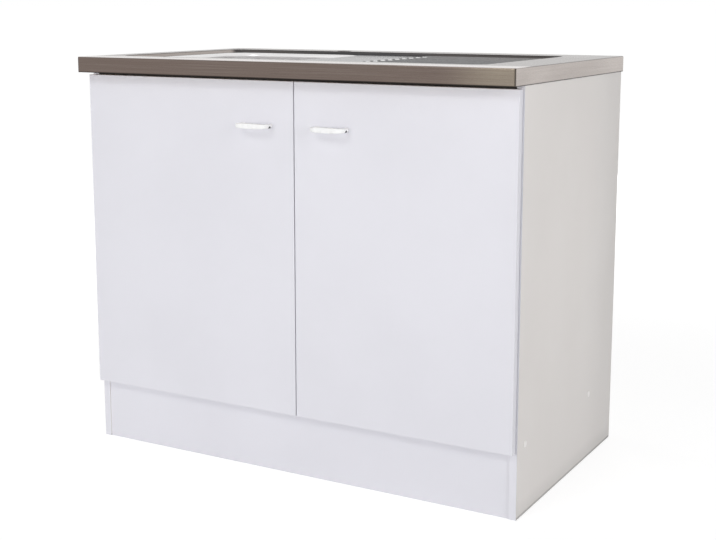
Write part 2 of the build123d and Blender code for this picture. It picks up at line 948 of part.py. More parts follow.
def plate_screw_holes(z):
    return [
        drilled(seat, (1, 0, 0), plate_screw_length + fit_gap, plate_screw_radius + fit_gap)
        for seat in plate_screw_seats(z)
    ]


def arm_screw_seats(z):
    """Where the fixing and adjusting screws sit on a hinge arm."""
    return [(arm_face, plate_y + step, z) for step in (-arm_screw_step / 2, arm_screw_step)]


def arm_screws(z):
    length = side_inner - arm_face - fit_gap
    return [
        screw(
            seat, (1, 0, 0), length, arm_screw_radius, wood_screw_head_radius, wood_screw_head
        )
        for seat in arm_screw_seats(z)
    ]


def arm_screw_holes(z):
    length = side_inner - arm_face
    return [
        drilled(seat, (1, 0, 0), length, arm_screw_radius + fit_gap) for seat in arm_screw_seats(z)
    ]


def hinge_plate(z):
    """The mounting plate screwed to the side panel: two wings and a raised rail."""
    wing = plate_screw_spacing / 2 + plate_wing
    front = plate_y - plate_rail_ahead
    rear = plate_y + plate_rail_behind
    rail_half = arm_half_width - arm_lip - fit_gap
    wings = block(plate_face, side_inner, plate_y - plate_wing, plate_y + plate_wing, z - wing, z + wing)
    wings = fillet(wings.edges().filter_by(Axis.X), plate_wing * 0.8)
    base = block(plate_face, side_inner, front, rear, z - arm_half_width, z + arm_half_width)
    rail = block(plate_rail_face, plate_face, front, rear, z - rail_half, z + rail_half)
    seats = [
        drilled(
            (plate_face, y, height), (1, 0, 0), wood_screw_head, plate_screw_head_radius + fit_gap
        )
        for x, y, height in plate_screw_seats(z)
    ]
    return wings + base + rail - seats - plate_screw_holes(z) - arm_screw_holes(z)


def hinge_arm(z):
    """The folded steel arm on the plate, with two cheeks that reach into the cup."""
    low = z - arm_half_width
    high = z + arm_half_width
    rear = carcass_front + arm_length
    web = block(arm_face, plate_rail_face, arm_neck_y, rear, low, high)
    web = fillet(web.edges().filter_by(Axis.X).group_by(Axis.Y)[-1], arm_half_width / 2)
    lip_face = plate_face - fit_gap
    lips = [
        block(arm_face, lip_face, arm_neck_y, rear - arm_half_width, edge, edge + arm_lip)
        for edge in (low, high - arm_lip)
    ]
    nose = block(arm_nose_inner, arm_nose_outer, arm_nose_front, arm_neck_y, low, high)
    nose = fillet(nose.edges().filter_by(Axis.Z).group_by(Axis.Y)[0], arm_nose_radius)
    pocket_rear = arm_pivot_y + link_barrel_radius + running_gap
    pocket_half = link_half_width + running_gap
    pocket = block(
        arm_nose_inner, arm_nose_outer, arm_nose_front, pocket_rear, z - pocket_half, z + pocket_half
    )
    bore = rod_z(arm_pivot_x, arm_pivot_y, low, high, pin_radius + fit_gap)
    return web + lips + nose - pocket - bore - arm_screw_holes(z)


def hinge_pin(z):
    """The riveted pin across an arm's cheeks."""
    half = arm_half_width
    pin = rod_z(arm_pivot_x, arm_pivot_y, z - half, z + half, pin_radius)
    heads = [
        rod_z(arm_pivot_x, arm_pivot_y, z + turn * half, z + turn * (half + pin_head), pin_radius * 1.5)
        for turn in (-1, 1)
    ]
    return pin + heads


def hinge_link(z):
    """The link that turns on the arm's pin and folds into the cup."""
    low = z - link_half_width
    high = z + link_half_width
    eye = rod_z(arm_pivot_x, arm_pivot_y, low, high, link_barrel_radius)
    tip = rod_z(link_end_x, link_end_y, low, high, link_tip_radius)
    middle = Pos((arm_pivot_x + link_end_x) / 2, (arm_pivot_y + link_end_y) / 2, z)
    web = middle * Rot(0, 0, link_angle) * Box(link_length, link_thickness, high - low)
    return eye + tip + web - rod_z(arm_pivot_x, arm_pivot_y, low, high, pin_radius + running_gap)


# ---------------------------------------------------------------- waste and overflow
def ring(radius, bore, z0, z1):
    """A flat ring on the waste's axis."""
    return rod_z(bowl_x, bowl_y, z0, z1, radius) - rod_z(bowl_x, bowl_y, z0, z1, bore)


def waste_cup():
    """The steel flange and cup in the bowl's floor, with its outlet and overflow branch."""
    flange = rod_z(bowl_x, bowl_y, waste_flange_under, waste_flange_top, waste_flange_radius)
    flange = fillet(flange.faces().sort_by(Axis.Z)[-1].edges(), waste_flange_thickness * 0.7)
    cup = rod_z(bowl_x, bowl_y, waste_cup_bottom, waste_flange_under, waste_cup_radius)
    outlet = rod_z(bowl_x, bowl_y, outlet_bottom, waste_cup_bottom, outlet_radius)
    branch = rod_y(bowl_x, bowl_y, branch_end_y, spigot_z, spigot_radius)
    hollow = rod_z(bowl_x, bowl_y, waste_cup_floor, waste_flange_top, waste_cup_inner)
    bore = rod_z(bowl_x, bowl_y, outlet_bottom, waste_cup_floor, outlet_bore)
    branch_bore = rod_y(bowl_x, bowl_y, branch_end_y, spigot_z, spigot_radius - overflow_pipe_wall)
    return flange + cup + outlet + branch - hollow - bore - branch_bore


def waste_nut():
    """The moulded ring nut under the bowl, with lugs to grip."""
    top = bowl_under - gasket_thickness
    low = top - nut_thickness
    nut = rod_z(bowl_x, bowl_y, low, top, waste_flange_radius)
    lugs = [
        Pos(bowl_x, bowl_y, (low + top) / 2)
        * Rot(0, 0, turn * 360 / nut_lugs)
        * Pos(waste_flange_radius, 0, 0)
        * Box(nut_lug, nut_lug * 2, nut_thickness)
        for turn in range(nut_lugs)
    ]
    return nut + lugs - rod_z(bowl_x, bowl_y, low, top, waste_cup_radius + fit_gap)


def strainer_basket():
    """The lift-out strainer: a perforated cup on a rubber-faced stopper, with a knob."""
    seat = waste_cup_floor + running_gap
    floor = seat + stopper_thickness
    rim_top = waste_flange_top - basket_sheet
    radius = waste_cup_inner - basket_gap
    stopper = rod_z(bowl_x, bowl_y, seat, floor, outlet_bore + stopper_overlap)
    shell = rod_z(bowl_x, bowl_y, floor, rim_top, radius)
    shell -= rod_z(bowl_x, bowl_y, floor + basket_sheet, rim_top, radius - basket_sheet)
    lip = ring(waste_cup_inner - basket_lip_gap, radius - basket_sheet, rim_top - basket_sheet, rim_top)
    post = rod_z(bowl_x, bowl_y, floor, rim_top, knob_radius * 0.4)
    knob = rod_z(bowl_x, bowl_y, rim_top - knob_height / 2, rim_top + knob_height / 2, knob_radius)
    knob = fillet(knob.faces().filter_by(GeomType.PLANE).edges(), knob_height / 4)
    rows = [(radius * 0.74, 14), (radius * 0.89, 18)]
    holes = [
        Pos(bowl_x, bowl_y, 0)
        * Rot(0, 0, turn * 360 / count)
        * rod_z(row, 0, floor, floor + basket_sheet, strainer_hole_radius)
        for row, count in rows
        for turn in range(count)
    ]
    return stopper + shell + lip + post + knob - holes


def overflow_rosette():
    """The slotted disc inside the bowl and the short neck behind it."""
    face = bowl_rear - rosette_thickness
    disc = rod_y(bowl_x, face, bowl_rear, overflow_z, overflow_hole_radius + rosette_overlap)
    disc = fillet(disc.faces().sort_by(Axis.Y)[0].edges(), rosette_thickness * 0.7)
    neck_end = bowl_rear_face + rosette_thickness
    neck = rod_y(bowl_x, bowl_rear, neck_end, overflow_z, overflow_hole_radius - fit_gap)
    neck -= rod_y(bowl_x, bowl_rear, neck_end, overflow_z, overflow_hole_radius - overflow_pipe_wall)
    slots = [
        Pos(bowl_x, (face + bowl_rear) / 2, overflow_z + step)
        * Box(overflow_hole_radius * 1.4, rosette_thickness, rosette_slot)
        for step in (-2 * rosette_slot, 0, 2 * rosette_slot)
    ]
    return disc + neck - slots


def overflow_elbow():
    """The moulded box behind the bowl's overflow hole, with a spout that points down."""
    half = overflow_hole_radius + elbow_margin
    depth = 2 * (overflow_pipe_y - bowl_rear_face)
    outline = RectangleRounded(2 * half, 2 * half, elbow_margin)
    inside = RectangleRounded(2 * (half - elbow_wall), 2 * (half - elbow_wall), elbow_margin - elbow_wall)
    rear = Pos(bowl_x, bowl_rear_face + depth, overflow_z) * Rot(90, 0, 0)
    box = rear * extrude(outline, amount=depth)
    hollow = rear * Pos(0, 0, elbow_wall) * extrude(inside, amount=depth - 2 * elbow_wall)
    front_hole = rod_y(
        bowl_x, bowl_rear_face, bowl_rear_face + elbow_wall, overflow_z, overflow_hole_radius
    )
    spout_top = overflow_z - half
    spout = rod_z(bowl_x, overflow_pipe_y, spout_top - spout_length, spout_top, spigot_radius)
    bore_top = spout_top + elbow_wall
    bore_radius = spigot_radius - overflow_pipe_wall
    bore = rod_z(bowl_x, overflow_pipe_y, spout_top - spout_length, bore_top, bore_radius)
    return box + spout - hollow - front_hole - bore


def overflow_pipe():
    """The smooth rigid pipe from the overflow down and forward to the waste cup."""
    top = overflow_z - overflow_hole_radius - elbow_margin
    path = FilletPolyline(
        (bowl_x, overflow_pipe_y, top),
        (bowl_x, overflow_pipe_y, spigot_z),
        (bowl_x, bowl_y + waste_cup_radius + spigot_collar, spigot_z),
        radius=overflow_bend_radius,
    )
    start = Plane(origin=path @ 0, z_dir=path % 0)
    section = Circle(overflow_pipe_radius) - Circle(overflow_pipe_radius - overflow_pipe_wall)
    return sweep(start * section, path=path)


# ---------------------------------------------------------------- the pieces
def build_all():
    """Writes every named piece."""
    right_side = side_panel()
    save("right_side_panel", right_side)
    save("left_side_panel", mirrored(right_side))
    save("base_shelf", base_shelf())
    save("plinth_board", plinth_board())
    front_y, rear_y = rail_mid_ys()
    save("front_rail", top_rail(carcass_front, front_rail_rear, front_y))
    save("rear_rail", top_rail(rear_rail_front, side_rear, rear_y))
    save("back_panel", back_panel())
    save("back_panel_nails", *both_sides([back_nail(place) for place in nail_places()]))

    save("sink_top", sink_top())
    save("sink_bowl", sink_bowl())
    for name, strip in underlay_strips().items():
        save(name, strip)
    save("sink_brackets", *both_sides([sink_bracket(y) for y in bracket_ys]))
    save("sink_bracket_screws", *both_sides([s for y in bracket_ys for s in bracket_screws(y)]))

    save("panel_screws", *both_sides([confirmat_screw(place) for place in confirmat_places()]))
    save("screw_cover_caps", *both_sides([cover_cap(place) for place in confirmat_places()]))
    save("wooden_dowels", *both_sides([wooden_dowel(place) for place in dowel_places()]))
    save("cam_bolts", *both_sides([cam_bolt(y) for y in rail_mid_ys()]))
    save("cam_discs", *both_sides([cam_disc(y) for y in rail_mid_ys()]))
    save("plinth_corner_blocks", *both_sides([corner_block(z) for z in corner_block_places()]))
    save(
        "corner_block_screws",
        *both_sides([s for z in corner_block_places() for s in corner_screws(z)]),
    )

    cups = at_both_hinges(hinge_cup)
    screws_in_door = [s for z in hinge_zs for s in cup_screws(z)]
    links = at_both_hinges(hinge_link)
    inner_edges = {"left": left_door_inner, "right": right_door_inner}
    for name, side, handle_x in (("left", -1, handle_xs[0]), ("right", 1, handle_xs[1])):
        save(f"{name}_door", door(inner_edges[name], side, handle_x))
        save(f"{name}_handle", bow_handle(handle_x))
        save(f"{name}_handle_screws", *handle_screws(handle_x))
        buffer_x = inner_edges[name] + side * buffer_from_gap
        save(f"{name}_door_buffers", *door_buffers(buffer_x))
        for piece, solids in (
            ("hinge_cups", cups),
            ("hinge_cup_screws", screws_in_door),
            ("hinge_links", links),
        ):
            save(f"{name}_{piece}", *(solids if side > 0 else [mirrored(s) for s in solids]))

    save("hinge_arms", *both_sides(at_both_hinges(hinge_arm)))
    save("hinge_arm_screws", *both_sides([s for z in hinge_zs for s in arm_screws(z)]))
    save("hinge_pins", *both_sides(at_both_hinges(hinge_pin)))
    save("hinge_plates", *both_sides(at_both_hinges(hinge_plate)))
    save("hinge_plate_screws", *both_sides([s for z in hinge_zs for s in plate_screws(z)]))

    save("waste_cup", waste_cup())
    flange_seal = ring(
        waste_flange_radius - 2 * fit_gap, waste_cup_radius + fit_gap, bowl_floor, waste_flange_under
    )
    gasket_under = bowl_under - gasket_thickness
    nut_gasket = ring(
        waste_flange_radius, waste_cup_radius + fit_gap, gasket_under, bowl_under
    )
    save("waste_seals", flange_seal, nut_gasket)
    save("waste_nut", waste_nut())
    save("strainer_basket", strainer_basket())
    save("overflow_rosette", overflow_rosette())
    save("overflow_elbow", overflow_elbow())
    save("overflow_pipe", overflow_pipe())


os.makedirs("parts", exist_ok=True)
build_all()
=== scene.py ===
import json
import math

import bpy
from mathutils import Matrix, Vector


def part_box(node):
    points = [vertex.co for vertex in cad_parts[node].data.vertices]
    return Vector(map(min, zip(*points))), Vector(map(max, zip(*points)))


# The finish of a white kitchen sink unit with a lay-on stainless steel sink top.
# Metres. X runs to the right, the doors face -Y and +Z is up. A pair of values says where a
# tone starts and where it ends.

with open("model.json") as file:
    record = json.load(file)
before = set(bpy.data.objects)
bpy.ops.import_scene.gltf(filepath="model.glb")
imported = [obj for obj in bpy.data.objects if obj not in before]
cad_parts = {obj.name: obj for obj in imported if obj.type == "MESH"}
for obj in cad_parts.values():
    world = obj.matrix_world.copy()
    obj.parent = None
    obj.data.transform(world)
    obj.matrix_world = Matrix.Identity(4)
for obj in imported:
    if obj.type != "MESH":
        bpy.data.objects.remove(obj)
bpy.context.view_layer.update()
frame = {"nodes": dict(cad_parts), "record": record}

# ---------------------------------------------------------------- camera and stage
photo_width = 716
sensor_width = 36.0
focal_pixels = 1269.0
camera_place = (1.351, -2.367, 0.961)
camera_turn = 0.514
camera_down = 0.169
frame_shift = -0.07
floor_radius = 400.0
floor_sides = 96
floor_glow = (0.81, 0.94)
floor_glow_reach = (0.9, 3.2)
floor_shadow_share = 0.30
sky_light = 0.25

# ---------------------------------------------------------------- places on the sink top
apron_height = 0.033
recess_depth = 0.007
recess_fade_shares = (0.75, 0.2)
border_width = 0.085
# Where the front border's bright painted reflection fades into the darker one.
front_border_fade_shares = (0.55, 0.95)
# Painted reflection: where the aprons turn lighter and warmer towards the right-hand corner.
warm_reflection_reach = (0.16, 0.02)
apron_skin = (0.03, 0.01)
ribs_start = 0.09
ribs_reach = 0.17
rib_rows_fade = 0.004
tip_height = (0.0005, 0.0013)
tip_start = (-0.010, -0.007)
tip_end = (0.014, 0.019)
# Where the painted shade at a rib's end passes into its painted highlight.
tip_shade_end = (0.004, 0.007)
# Bands of painted shade along the aprons' folds: the hem, under the top's edge and at the corners.
hem_line = (0.0009, 0.0024)
brow_line = (0.0019, 0.0008)
corner_line = (0.0045, 0.0015)

# ---------------------------------------------------------------- places on the other pieces
edge_band_reach = 0.0011
# Painted shade on the side panels: a contact shadow line at the foot, and shade near the floor and
# towards the back.
foot_shadow_band = (0.003, 0.006)
foot_shade_reach = 0.040
rear_shade_reach = 0.22
# Painted shade on the front rail: how far below the doors' top it starts, its fade and its
# waviness.
rail_shade_below_doors = 0.007
rail_shade_fade = 0.0015
rail_shade_wave = 0.002
# Where the spot of painted shade on the handles sits, and how wide it is.
shade_spot_from_corner = (0.003, 0.012, 0.002)
shade_spot_radius = (0.0042, 0.0058)

# ---------------------------------------------------------------- how dark a mark is
edge_band_share = 0.11
mottle_share = 0.028
# How dark the side panels' painted shadow and painted shade are.
foot_shadow_share = 0.34
foot_shade_share = 0.10
rear_shade_share = 0.12
streak_share = 0.12
broad_shade_share = 0.22
# How dark the painted shade under the top's edge and along the folds is.
brow_shade_share = 0.75
fold_shade_share = 0.88

# ---------------------------------------------------------------- spreads used in many places
noise_core = (0.35, 0.65)
noise_wide = (0.3, 0.7)
squarely = (0.6, 0.9)
upward_enough = (0.55, 0.85)
tilted_enough = (0.12, 0.5)
x_axis = 0
y_axis = 1
z_axis = 2

# ---------------------------------------------------------------- sockets of the mix node
mix_share = 0
mix_numbers = (2, 3)
mix_colours = (6, 7)
mixed_number = 0
mixed_colour = 2

# ---------------------------------------------------------------- colours, as linear values
door_white = (0.80, 0.795, 0.848)
carcass_white = (0.80, 0.765, 0.742)
back_white = (0.74, 0.73, 0.71)
# The sink top's tones are painted reflections and painted shade on one steel: dark on the front and
# back aprons, paler on the sides, warmer towards the right-hand corner, bright on the front border,
# darker on the other borders and the recess, shade in hollows and folds, and a glint and shade at
# the rib ends. The bowl's tone and the brushing streak are the steel's own.
steel_front_painted_reflection = (0.170, 0.132, 0.115)
steel_side_painted_reflection = (0.49, 0.44, 0.41)
steel_border_painted_reflection = (0.27, 0.25, 0.238)
steel_front_border_painted_reflection = (0.72, 0.68, 0.665)
steel_recess_painted_reflection = (0.25, 0.253, 0.256)
steel_hollow_shade = (0.06, 0.06, 0.062)
steel_bowl = (0.82, 0.81, 0.81)
steel_painted_glint = (0.76, 0.76, 0.76)
steel_rib_end_shade = (0.02, 0.02, 0.02)
steel_warm_painted_reflection = (0.29, 0.245, 0.195)
steel_fold_shade = (0.018, 0.014, 0.013)
steel_streak = (0.42, 0.39, 0.36)
polished_tone = (0.62, 0.61, 0.60)
nickel_tone = (0.56, 0.54, 0.51)
zinc_tone = (0.50, 0.51, 0.53)
handle_white = (0.96, 0.96, 0.96)
fitting_white = (0.80, 0.80, 0.785)
cap_white = (0.94, 0.915, 0.90)
# The colour of the painted shade spot on the handles.
handle_shade_dark = (0.02, 0.02, 0.02)
chipboard_tone = (0.45, 0.32, 0.19)
chip_dark_tone = (0.25, 0.16, 0.085)
beech_tone = (0.55, 0.36, 0.21)
beech_dark_tone = (0.40, 0.25, 0.135)
rubber_clear = (0.60, 0.62, 0.63)
rubber_black = (0.022, 0.022, 0.024)
# The colour of the painted shade along the front rail's top.
rail_shade_tone = (0.018, 0.016, 0.016)
floor_pale = (0.82, 0.82, 0.82)
white = (1.0, 1.0, 1.0)
black = (0.0, 0.0, 0.0)


# ---------------------------------------------------------------- building materials
class Finish:
    """One procedural material and short ways to add nodes to it."""

    def __init__(self, name, roughness, metallic=0.0):
        self.material = bpy.data.materials.new(name)
        self.material.use_nodes = True
        self.tree = self.material.node_tree
        self.shader = self.tree.nodes["Principled BSDF"]
        self.shader.inputs["Roughness"].default_value = roughness
        self.shader.inputs["Metallic"].default_value = metallic
        self.place = self.add("ShaderNodeTexCoord").outputs["Object"]

    def add(self, kind, **settings):
        node = self.tree.nodes.new(kind)
        for key, value in settings.items():
            setattr(node, key, value)
        return node

    def put(self, socket, value):
        """A link where the value is a socket, and otherwise a plain value."""
        if isinstance(value, bpy.types.NodeSocket):
            self.tree.links.new(value, socket)
        else:
            socket.default_value = value

    def math(self, operation, first, second=0.0):
        node = self.add("ShaderNodeMath", operation=operation)
        self.put(node.inputs[0], first)
        self.put(node.inputs[1], second)
        return node.outputs[0]

    def noise(self, scale, stretch=(1.0, 1.0, 1.0), detail=3.0):
        """Noise in object space, with more cells along the axes that are stretched more."""
        mapping = self.add("ShaderNodeMapping")
        self.put(mapping.inputs["Vector"], self.place)
        mapping.inputs["Scale"].default_value = stretch
        node = self.add("ShaderNodeTexNoise")
        self.put(node.inputs["Vector"], mapping.outputs[0])
        node.inputs["Scale"].default_value = scale
        node.inputs["Detail"].default_value = detail
        return node.outputs[0]

    def between(self, value, low, high, at_low=0.0, at_high=1.0):
        """The value spread from one range to another, with soft ends."""
        node = self.add("ShaderNodeMapRange", interpolation_type="SMOOTHSTEP")
        self.put(node.inputs["Value"], value)
        node.inputs["From Min"].default_value = low
        node.inputs["From Max"].default_value = high
        node.inputs["To Min"].default_value = at_low
        node.inputs["To Max"].default_value = at_high
        return node.outputs[0]

    def blend(self, share, first, second):
        """One colour passing into another."""
        node = self.add("ShaderNodeMix", data_type="RGBA")
        self.put(node.inputs[mix_share], share)
        for index, value in zip(mix_colours, (first, second)):
            self.put(node.inputs[index], (*value, 1.0) if isinstance(value, tuple) else value)
        return node.outputs[mixed_colour]

    def blend_numbers(self, share, first, second):
        """One number passing into another."""
        node = self.add("ShaderNodeMix", data_type="FLOAT")
        self.put(node.inputs[mix_share], share)
        for index, value in zip(mix_numbers, (first, second)):
            self.put(node.inputs[index], value)
        return node.outputs[mixed_number]

    def axes(self):
        """The place in object space, as its X, Y and Z."""
        node = self.add("ShaderNodeSeparateXYZ")
        self.put(node.inputs[0], self.place)
        return node.outputs

    def facing(self, axis):
        """How squarely the surface faces along an axis, either way."""
        node = self.add("ShaderNodeSeparateXYZ")
        self.put(node.inputs[0], self.add("ShaderNodeNewGeometry").outputs["True Normal"])
        return self.math("ABSOLUTE", node.outputs[axis])

    def near_edge(self, low, high, reach):
        """1 on the edges of a box and 0 from the reach inwards: the middle one of the
        distances to the nearest face along each axis."""
        gaps = []
        for axis, socket in enumerate(self.axes()):
            from_low = self.math("SUBTRACT", socket, low[axis])
            to_high = self.math("SUBTRACT", high[axis], socket)
            gaps.append(self.math("MINIMUM", from_low, to_high))
        across, along, up = gaps
        smaller = self.math("MINIMUM", across, along)
        larger = self.math("MAXIMUM", across, along)
        middle = self.math("MAXIMUM", smaller, self.math("MINIMUM", larger, up))
        return self.between(middle, 0.0, reach, at_low=1.0, at_high=0.0)

    def colour(self, value):
        self.put(self.shader.inputs["Base Color"], value)

    def rough(self, spread, noise_range, low, high):
        """A roughness that follows a noise."""
        socket = self.between(spread, *noise_range, at_low=low, at_high=high)
        self.put(self.shader.inputs["Roughness"], socket)

    def relief(self, height, depth, strength):
        node = self.add("ShaderNodeBump")
        node.inputs["Strength"].default_value = strength
        node.inputs["Distance"].default_value = depth
        self.put(node.inputs["Height"], height)
        self.put(self.shader.inputs["Normal"], node.outputs[0])


def darker(tone, share):
    return tuple(channel * share for channel in tone)


# ---------------------------------------------------------------- boards
def side_panel_face(finish, tone, front_tone, low, high):
    """A side panel: its front edge has the doors' tone, and its face has painted shade near the
    floor and towards the back, with a painted contact shadow line where it meets the floor."""
    height = finish.axes()[z_axis]
    ahead = finish.between(finish.facing(y_axis), *squarely)
    # Painted contact shadow: a dark line along the panel's foot, where it meets the floor.
    line_low, line_high = foot_shadow_band
    foot_shadow = finish.between(
        height, low[z_axis] + line_low, low[z_axis] + line_high, at_low=foot_shadow_share, at_high=0.0
    )
    # Painted shade, darker towards the floor.
    shade_near_floor = finish.between(
        height, low[z_axis], low[z_axis] + foot_shade_reach, at_low=foot_shade_share, at_high=0.0
    )
    # Painted shade, darker towards the back edge.
    shade_towards_back = finish.between(
        finish.axes()[y_axis],
        high[y_axis] - rear_shade_reach,
        high[y_axis],
        at_low=0.0,
        at_high=rear_shade_share,
    )
    # The panel's painted shade and painted shadow, added together.
    shade = finish.math("ADD", shade_towards_back, finish.math("ADD", foot_shadow, shade_near_floor))
    return finish.blend(ahead, finish.blend(shade, tone, black), front_tone)


def melamine(name, tone, low, high, front_tone=None, shade_above=None):
    """Satin melamine on chipboard: fine grain, faint unevenness and a duller edge band. The rail
    under the sink top's apron has a dark run of painted shade along its top, where the gap under
    the apron falls in shade."""
    finish = Finish(name, roughness=0.42)
    face = tone
    if front_tone is not None:
        face = side_panel_face(finish, tone, front_tone, low, high)
    cloud = finish.noise(scale=3.2, detail=4.0)
    mottle = finish.between(cloud, *noise_core, at_low=0.0, at_high=mottle_share)
    mottled = finish.blend(mottle, face, black)
    band = finish.math("MULTIPLY", finish.near_edge(low, high, edge_band_reach), edge_band_share)
    surface = finish.blend(band, mottled, black)
    # Painted shade: a dark wavy band along the rail's top, standing for the shade in the gap under
    # the sink top's apron.
    if shade_above is not None:
        ripple = finish.noise(scale=40.0, stretch=(1.0, 1.0, 0.1))
        wavy = finish.math("MULTIPLY", ripple, rail_shade_wave)
        height = finish.math("SUBTRACT", finish.axes()[z_axis], wavy)
        rail_shade = finish.between(height, shade_above - rail_shade_fade, shade_above)
        surface = finish.blend(rail_shade, surface, rail_shade_tone)
    finish.colour(surface)
    wiped = finish.noise(scale=9.0, stretch=(1.0, 1.0, 0.3), detail=2.0)
    finish.rough(wiped, noise_wide, low=0.36, high=0.47)
    finish.relief(finish.noise(scale=620.0, detail=2.0), depth=0.00005, strength=0.22)
    return finish.material


def fibreboard(name):
    """A thin white-faced back board with a slightly fibrous face."""
    finish = Finish(name, roughness=0.6)
    cloud = finish.between(finish.noise(scale=6.0, detail=5.0), *noise_wide)
    finish.colour(finish.blend(cloud, back_white, darker(back_white, 0.93)))
    finish.rough(finish.noise(scale=40.0), noise_wide, low=0.52, high=0.68)
    finish.relief(finish.noise(scale=480.0, detail=4.0), depth=0.00008, strength=0.35)
    return finish.material


def raw_chipboard(name):
    """Bare chipboard: pressed chips of several tones."""
    finish = Finish(name, roughness=0.85)
    chips = finish.add("ShaderNodeTexVoronoi")
    finish.put(chips.inputs["Vector"], finish.place)
    chips.inputs["Scale"].default_value = 420.0
    tone = finish.between(chips.outputs["Color"], low=0.2, high=0.85)
    finish.colour(finish.blend(tone, chip_dark_tone, chipboard_tone))
    finish.relief(chips.outputs["Distance"], depth=0.0003, strength=0.5)
    return finish.material


def beech_wood(name):
    """Turned beech with fine straight grain along X."""
    finish = Finish(name, roughness=0.6)
    grain = finish.noise(scale=1.0, stretch=(30.0, 900.0, 900.0), detail=4.0)
    finish.colour(finish.blend(finish.between(grain, *noise_core), beech_tone, beech_dark_tone))
    finish.relief(grain, depth=0.0001, strength=0.4)
    return finish.material


# ---------------------------------------------------------------- the sink top's sheet
def brushing(finish):
    """Fine lines that run along each apron: along Y on the sides, and otherwise along X."""
    on_sides = finish.between(finish.facing(x_axis), *squarely)
    along_x = finish.noise(scale=1.0, stretch=(4.0, 420.0, 420.0), detail=5.0)
    along_y = finish.noise(scale=1.0, stretch=(420.0, 4.0, 420.0), detail=5.0)
    return finish.blend_numbers(on_sides, along_x, along_y)


def rib_tips(finish, floor):
    """1 on the left-hand ends of the drainer's ribs, above the recess floor."""
    x, y, z = finish.axes()
    from_end = finish.math("SUBTRACT", x, ribs_start)
    low, high = tip_height
    raised = finish.between(z, floor + low, floor + high)
    begun = finish.between(from_end, *tip_start)
    ended = finish.between(from_end, *tip_end, at_low=1.0, at_high=0.0)
    from_middle = finish.math("ABSOLUTE", y)
    rows = finish.between(
        from_middle, ribs_reach, ribs_reach + rib_rows_fade, at_low=1.0, at_high=0.0
    )
    along = finish.math("MULTIPLY", begun, ended)
    return finish.math("MULTIPLY", finish.math("MULTIPLY", raised, rows), along)


def rib_end_shade_and_glint(finish):
    """A painted shade at the very end of a rib, and a painted highlight behind it."""
    start, end = tip_shade_end
    past_tip_shade = finish.between(finish.axes()[x_axis], ribs_start + start, ribs_start + end)
    return finish.blend(past_tip_shade, steel_rib_end_shade, steel_painted_glint)


def apron_painted_light(finish, high, sideways):
    """The upright faces, in painted reflection and painted shade: brown-grey in front and behind,
    warmer and lighter towards the right-hand corner, painted shade on the inner faces, and a paler
    painted reflection on the sides."""
    places = finish.axes()
    # Painted reflection, lighter and warmer towards the right-hand corner.
    warm_start, warm_end = warm_reflection_reach
    warm_reflection = finish.between(
        places[x_axis], high[x_axis] - warm_start, high[x_axis] - warm_end
    )
    skin_start, skin_end = apron_skin
    # Painted shade on the aprons' inner faces.
    inner = finish.between(
        finish.math("ABSOLUTE", places[y_axis]),
        high[y_axis] - skin_start,
        high[y_axis] - skin_end,
        at_low=1.0,
        at_high=0.0,
    )
    outer = finish.blend(warm_reflection, steel_front_painted_reflection, steel_warm_painted_reflection)
    return finish.blend(sideways, finish.blend(inner, outer, steel_hollow_shade), steel_side_painted_reflection)


def top_painted_light(finish, low, high):
    """The faces that look up, in painted reflection: a bright front border, darker ones elsewhere,
    and the recess, with painted shade on its tilted walls.
    """
    places = finish.axes()
    deep_share, shallow_share = recess_fade_shares
    in_recess = finish.between(
        places[z_axis],
        high[z_axis] - recess_depth * deep_share,
        high[z_axis] - recess_depth * shallow_share,
        at_low=1.0,
        at_high=0.0,
    )
    near_share, far_share = front_border_fade_shares
    at_front = finish.between(
        places[y_axis],
        low[y_axis] + border_width * near_share,
        low[y_axis] + border_width * far_share,
        at_low=1.0,
        at_high=0.0,
    )
    # Painted reflection: the front border bright, the other borders darker.
    border = finish.blend(at_front, steel_border_painted_reflection, steel_front_border_painted_reflection)
    # Painted shade on the recess's tilted walls and the ribs' flanks.
    tilt = finish.math("MAXIMUM", finish.facing(x_axis), finish.facing(y_axis))
    tilted = finish.between(tilt, *tilted_enough)
    recess = finish.blend(tilted, steel_recess_painted_reflection, steel_hollow_shade)
    # Painted shade and painted highlight on the rib ends.
    tips = rib_tips(finish, high[z_axis] - recess_depth)
    return finish.blend(in_recess, border, finish.blend(tips, recess, rib_end_shade_and_glint(finish)))


def fold_shade_lines(finish, high, sideways, upwards):
    """How much painted shade the aprons get where the sheet is folded: along the hem, under the
    top's edge and at the corners."""
    x, y, z = finish.axes()
    hem = high[z_axis] - apron_height
    hem_low, hem_high = hem_line
    bottom = finish.between(z, hem + hem_low, hem + hem_high, at_low=1.0, at_high=0.0)
    brow_low, brow_high = brow_line
    brow = finish.between(
        z, high[z_axis] - brow_low, high[z_axis] - brow_high, at_low=0.0, at_high=brow_shade_share
    )
    start, end = corner_line
    near_x = finish.between(
        finish.math("ABSOLUTE", x), high[x_axis] - start, high[x_axis] - end
    )
    near_y = finish.between(
        finish.math("ABSOLUTE", y), high[y_axis] - start, high[y_axis] - end
    )
    corner = finish.math("MULTIPLY", near_x, finish.math("SUBTRACT", 1.0, sideways))
    behind = finish.math("MULTIPLY", near_y, finish.math("GREATER_THAN", y, 0.0))
    rear = finish.math("MULTIPLY", behind, sideways)
    level = finish.math("MAXIMUM", bottom, brow)
    fold = finish.math("MAXIMUM", level, finish.math("MAXIMUM", corner, rear))
    upright = finish.math("SUBTRACT", 1.0, upwards)
    return finish.math("MULTIPLY", finish.math("MULTIPLY", fold, upright), fold_shade_share)


